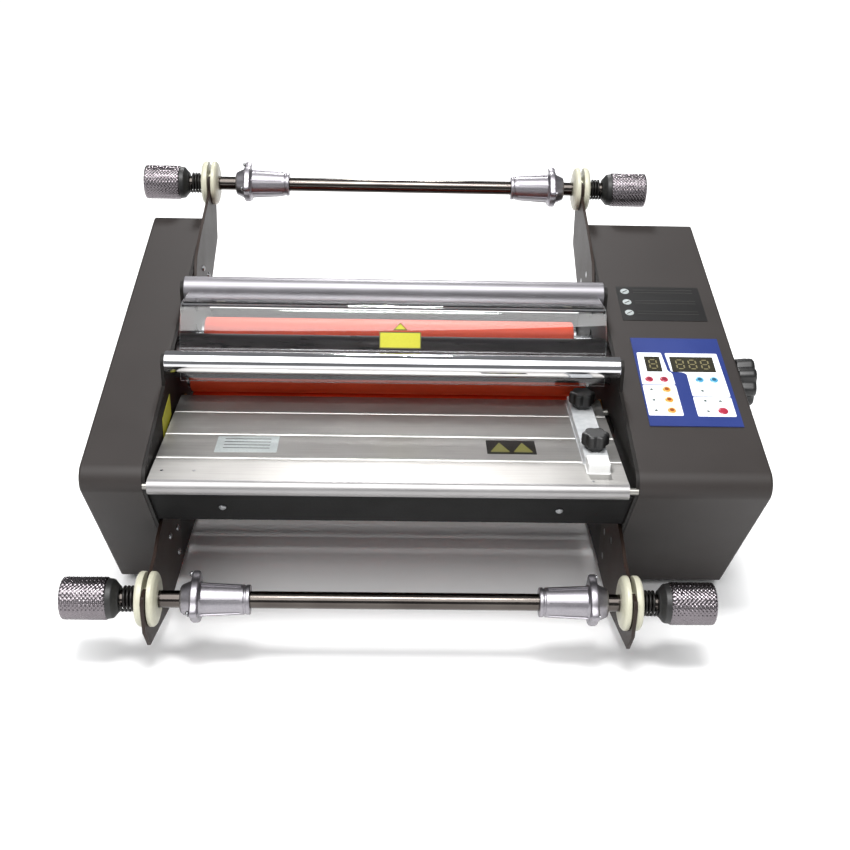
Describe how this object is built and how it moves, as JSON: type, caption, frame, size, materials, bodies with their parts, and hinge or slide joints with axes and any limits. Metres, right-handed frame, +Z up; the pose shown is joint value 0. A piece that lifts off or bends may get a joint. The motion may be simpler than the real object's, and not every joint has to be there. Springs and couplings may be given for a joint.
{
  "type": "roll laminator",
  "caption": "Desktop roll laminator with heated and pull rollers, hinged clear guard, slide-out feed table, two sprung film shafts and a sloping key panel.",
  "frame": {"origin": "middle of the overall outline, on the bench under the feet", "axes": "+X to the operator's right, +Y to the back, +Z up; the operator stands at -Y"},
  "size_m": [0.635, 0.5189, 0.342],
  "materials": {
    "casing_paint": "satin powder coat, dark warm grey",
    "frame_paint": "satin powder coat",
    "bright_steel": "bright zinc",
    "black_paint": "satin black",
    "chrome": "polished",
    "shield_steel": "heat-stained steel",
    "lamp_ceramic": "quartz tube with ceramic ends",
    "bearing_bronze": "sintered bronze",
    "bracket_paint": "satin brown-black",
    "screw_zinc": "zinc plated",
    "foot_rubber": "matt",
    "overlay_print": "printed polyester, satin",
    "display_lens": "smoked lens",
    "board_green": "solder mask",
    "motor_alloy": "cast",
    "inlet_plastic": "moulded",
    "bush_nylon": "machined nylon",
    "spring_steel": "blackened",
    "switch_red": "moulded",
    "gear_steel": "machined",
    "gear_nylon": "machined nylon",
    "clear_acrylic": "clear bent acrylic",
    "bar_aluminium": "satin anodised",
    "table_aluminium": "satin anodised extrusion",
    "guide_plastic": "frosted acrylic",
    "knob_black": "moulded phenolic",
    "roller_silicone": "ground silicone",
    "yoke_steel": "zinc plated",
    "shaft_chrome": "dark polished",
    "chuck_casting": "cast and turned",
    "knurled_chrome": "knurled",
    "key_red": "domed key",
    "key_blue": "domed key",
    "key_orange": "domed key"
  },
  "bodies": {
    "chassis": {"left_side_plate": "frame_paint", "right_side_plate": "frame_paint", "tie_rods": "bright_steel", "left_casing": "casing_paint", "right_casing": "casing_paint", "front_panel": "black_paint", "rear_panel": "black_paint", "heat_shields": "shield_steel", "heater_lamps": "lamp_ceramic", "lower_bearings": "bearing_bronze", "lower_shaft_brackets": "bracket_paint", "upper_shaft_brackets": "bracket_paint", "frame_screws": "screw_zinc", "feet": "foot_rubber", "control_overlay": "overlay_print", "display_window": "display_lens", "control_board": "board_green", "gear_motor": "motor_alloy", "power_inlet": "inlet_plastic", "shaft_bushes": "bush_nylon", "tension_springs": "spring_steel"},
    "idler": {"idler_bar": "chrome"},
    "guard": {"guard_lens": "clear_acrylic", "guard_bar": "bar_aluminium"},
    "table": {"feed_table": "table_aluminium", "table_pins": "bright_steel"},
    "edge_guide": {"edge_guide": "guide_plastic"},
    "front_guide_knob": {"front_guide_knob": "knob_black"},
    "rear_guide_knob": {"rear_guide_knob": "knob_black"},
    "front_lower": {"front_lower_roller": "roller_silicone", "front_lower_gear": "gear_steel"},
    "front_upper": {"front_upper_roller": "roller_silicone", "front_upper_gear": "gear_steel"},
    "rear_lower": {"rear_lower_roller": "roller_silicone", "rear_lower_gear": "gear_steel"},
    "rear_upper": {"rear_upper_roller": "roller_silicone", "rear_upper_gear": "gear_steel"},
    "transfer": {"transfer_gear": "gear_nylon"},
    "motor_shaft": {"motor_gear": "gear_steel"},
    "lift": {"lift_plates": "yoke_steel"},
    "pressure": {"pressure_knob": "knob_black"},
    "upper_shaft": {"upper_film_shaft": "shaft_chrome"},
    "lower_shaft": {"lower_film_shaft": "shaft_chrome"},
    "power_switch": {"power_switch": "switch_red"},
    "upper_left_chuck": {"upper_left_chuck": "chuck_casting"},
    "upper_left_tension_knob": {"upper_left_tension_knob": "knurled_chrome"},
    "upper_right_chuck": {"upper_right_chuck": "chuck_casting"},
    "upper_right_tension_knob": {"upper_right_tension_knob": "knurled_chrome"},
    "lower_left_chuck": {"lower_left_chuck": "chuck_casting"},
    "lower_left_tension_knob": {"lower_left_tension_knob": "knurled_chrome"},
    "lower_right_chuck": {"lower_right_chuck": "chuck_casting"},
    "lower_right_tension_knob": {"lower_right_tension_knob": "knurled_chrome"},
    "speed_up_key": {"speed_up_key": "key_red"},
    "speed_down_key": {"speed_down_key": "key_red"},
    "temperature_up_key": {"temperature_up_key": "key_blue"},
    "temperature_down_key": {"temperature_down_key": "key_blue"},
    "forward_key": {"forward_key": "key_orange"},
    "reverse_key": {"reverse_key": "key_orange"},
    "measure_key": {"measure_key": "key_orange"},
    "stop_key": {"stop_key": "key_red"}
  },
  "joints": [
    {"name": "guard_lift", "type": "hinge", "parent": "chassis", "child": "guard", "pos_m": [-0.034, 0.0375, 0.262], "axis": [-1, 0, 0], "range_deg": [0, 95]},
    {"name": "idler_spin", "type": "hinge", "parent": "chassis", "child": "idler", "pos_m": [-0.034, -0.0805, 0.232], "axis": [1, 0, 0], "continuous": true},
    {"name": "table_slide", "type": "slide", "parent": "chassis", "child": "table", "axis": [0, -1, 0], "range_m": [0, 0.04]},
    {"name": "edge_guide_slide", "type": "slide", "parent": "table", "child": "edge_guide", "axis": [1, 0, 0], "range_m": [-0.15, 0.008]},
    {"name": "front_guide_knob_turn", "type": "hinge", "parent": "edge_guide", "child": "front_guide_knob", "pos_m": [0.148, -0.1485, 0.182], "axis": [0, 0, 1], "range_deg": [0, 270]},
    {"name": "rear_guide_knob_turn", "type": "hinge", "parent": "edge_guide", "child": "rear_guide_knob", "pos_m": [0.148, -0.0605, 0.182], "axis": [0, 0, 1], "range_deg": [0, 270]},
    {"name": "front_lower_spin", "type": "hinge", "parent": "chassis", "child": "front_lower", "pos_m": [-0.034, -0.0065, 0.15], "axis": [1, 0, 0], "continuous": true},
    {"name": "pressure_turn", "type": "hinge", "parent": "chassis", "child": "pressure", "pos_m": [-0.034, -0.0365, 0.2], "axis": [1, 0, 0], "range_deg": [0, 90]},
    {"name": "nip_lift", "type": "slide", "parent": "chassis", "child": "lift", "axis": [0, 0, 1], "range_m": [0, 0.006]},
    {"name": "front_upper_spin", "type": "hinge", "parent": "lift", "child": "front_upper", "pos_m": [-0.034, -0.0065, 0.19], "axis": [1, 0, 0], "continuous": true},
    {"name": "rear_lower_spin", "type": "hinge", "parent": "chassis", "child": "rear_lower", "pos_m": [-0.034, 0.0905, 0.15], "axis": [1, 0, 0], "continuous": true},
    {"name": "rear_upper_spin", "type": "hinge", "parent": "lift", "child": "rear_upper", "pos_m": [-0.034, 0.0905, 0.19], "axis": [1, 0, 0], "continuous": true},
    {"name": "transfer_spin", "type": "hinge", "parent": "chassis", "child": "transfer", "pos_m": [-0.034, 0.042, 0.13784], "axis": [1, 0, 0], "continuous": true},
    {"name": "motor_spin", "type": "hinge", "parent": "chassis", "child": "motor_shaft", "pos_m": [-0.034, 0.042, 0.09584], "axis": [1, 0, 0], "continuous": true},
    {"name": "power_switch_rock", "type": "hinge", "parent": "chassis", "child": "power_switch", "pos_m": [0.218, 0.1875, 0.06], "axis": [1, 0, 0], "range_deg": [0, 18]},
    {"name": "upper_shaft_spin", "type": "hinge", "parent": "chassis", "child": "upper_shaft", "pos_m": [-0.034, 0.2355, 0.318], "axis": [1, 0, 0], "continuous": true},
    {"name": "upper_left_chuck_slide", "type": "slide", "parent": "upper_shaft", "child": "upper_left_chuck", "axis": [1, 0, 0], "range_m": [-0.015, 0.1]},
    {"name": "upper_right_chuck_slide", "type": "slide", "parent": "upper_shaft", "child": "upper_right_chuck", "axis": [-1, 0, 0], "range_m": [-0.008, 0.1]},
    {"name": "upper_left_knob_turn", "type": "hinge", "parent": "upper_shaft", "child": "upper_left_tension_knob", "pos_m": [-0.294, 0.2355, 0.318], "axis": [1, 0, 0], "range_deg": [-180, 180]},
    {"name": "upper_right_knob_turn", "type": "hinge", "parent": "upper_shaft", "child": "upper_right_tension_knob", "pos_m": [0.226, 0.2355, 0.318], "axis": [1, 0, 0], "range_deg": [-180, 180]},
    {"name": "lower_shaft_spin", "type": "hinge", "parent": "chassis", "child": "lower_shaft", "pos_m": [-0.034, -0.2325, 0.073], "axis": [1, 0, 0], "continuous": true},
    {"name": "lower_left_chuck_slide", "type": "slide", "parent": "lower_shaft", "child": "lower_left_chuck", "axis": [1, 0, 0], "range_m": [-0.015, 0.1]},
    {"name": "lower_right_chuck_slide", "type": "slide", "parent": "lower_shaft", "child": "lower_right_chuck", "axis": [-1, 0, 0], "range_m": [-0.008, 0.1]},
    {"name": "lower_left_knob_turn", "type": "hinge", "parent": "lower_shaft", "child": "lower_left_tension_knob", "pos_m": [-0.294, -0.2325, 0.073], "axis": [1, 0, 0], "range_deg": [-180, 180]},
    {"name": "lower_right_knob_turn", "type": "hinge", "parent": "lower_shaft", "child": "lower_right_tension_knob", "pos_m": [0.226, -0.2325, 0.073], "axis": [1, 0, 0], "range_deg": [-180, 180]},
    {"name": "speed_up_press", "type": "slide", "parent": "chassis", "child": "speed_up_key", "axis": [0, 0.2719, -0.9623], "range_m": [0, 0.0005], "stiffness_N_per_m": 300, "springref_m": -0.0005},
    {"name": "speed_down_press", "type": "slide", "parent": "chassis", "child": "speed_down_key", "axis": [0, 0.2719, -0.9623], "range_m": [0, 0.0005], "stiffness_N_per_m": 300, "springref_m": -0.0005},
    {"name": "temperature_up_press", "type": "slide", "parent": "chassis", "child": "temperature_up_key", "axis": [0, 0.2719, -0.9623], "range_m": [0, 0.0005], "stiffness_N_per_m": 300, "springref_m": -0.0005},
    {"name": "temperature_down_press", "type": "slide", "parent": "chassis", "child": "temperature_down_key", "axis": [0, 0.2719, -0.9623], "range_m": [0, 0.0005], "stiffness_N_per_m": 300, "springref_m": -0.0005},
    {"name": "forward_press", "type": "slide", "parent": "chassis", "child": "forward_key", "axis": [0, 0.2719, -0.9623], "range_m": [0, 0.0005], "stiffness_N_per_m": 300, "springref_m": -0.0005},
    {"name": "reverse_press", "type": "slide", "parent": "chassis", "child": "reverse_key", "axis": [0, 0.2719, -0.9623], "range_m": [0, 0.0005], "stiffness_N_per_m": 300, "springref_m": -0.0005},
    {"name": "measure_press", "type": "slide", "parent": "chassis", "child": "measure_key", "axis": [0, 0.2719, -0.9623], "range_m": [0, 0.0005], "stiffness_N_per_m": 300, "springref_m": -0.0005},
    {"name": "stop_press", "type": "slide", "parent": "chassis", "child": "stop_key", "axis": [0, 0.2719, -0.9623], "range_m": [0, 0.0005], "stiffness_N_per_m": 300, "springref_m": -0.0005}
  ],
  "couplings": [
    {"joint": "pressure_turn", "follows": "nip_lift", "rad_per_m": 261.79},
    {"joint": "front_upper_spin", "follows": "front_lower_spin", "ratio": -1},
    {"joint": "rear_lower_spin", "follows": "front_lower_spin", "ratio": 1},
    {"joint": "rear_upper_spin", "follows": "front_lower_spin", "ratio": -1},
    {"joint": "transfer_spin", "follows": "front_lower_spin", "ratio": -0.66667},
    {"joint": "motor_spin", "follows": "front_lower_spin", "ratio": 1.6667}
  ]
}
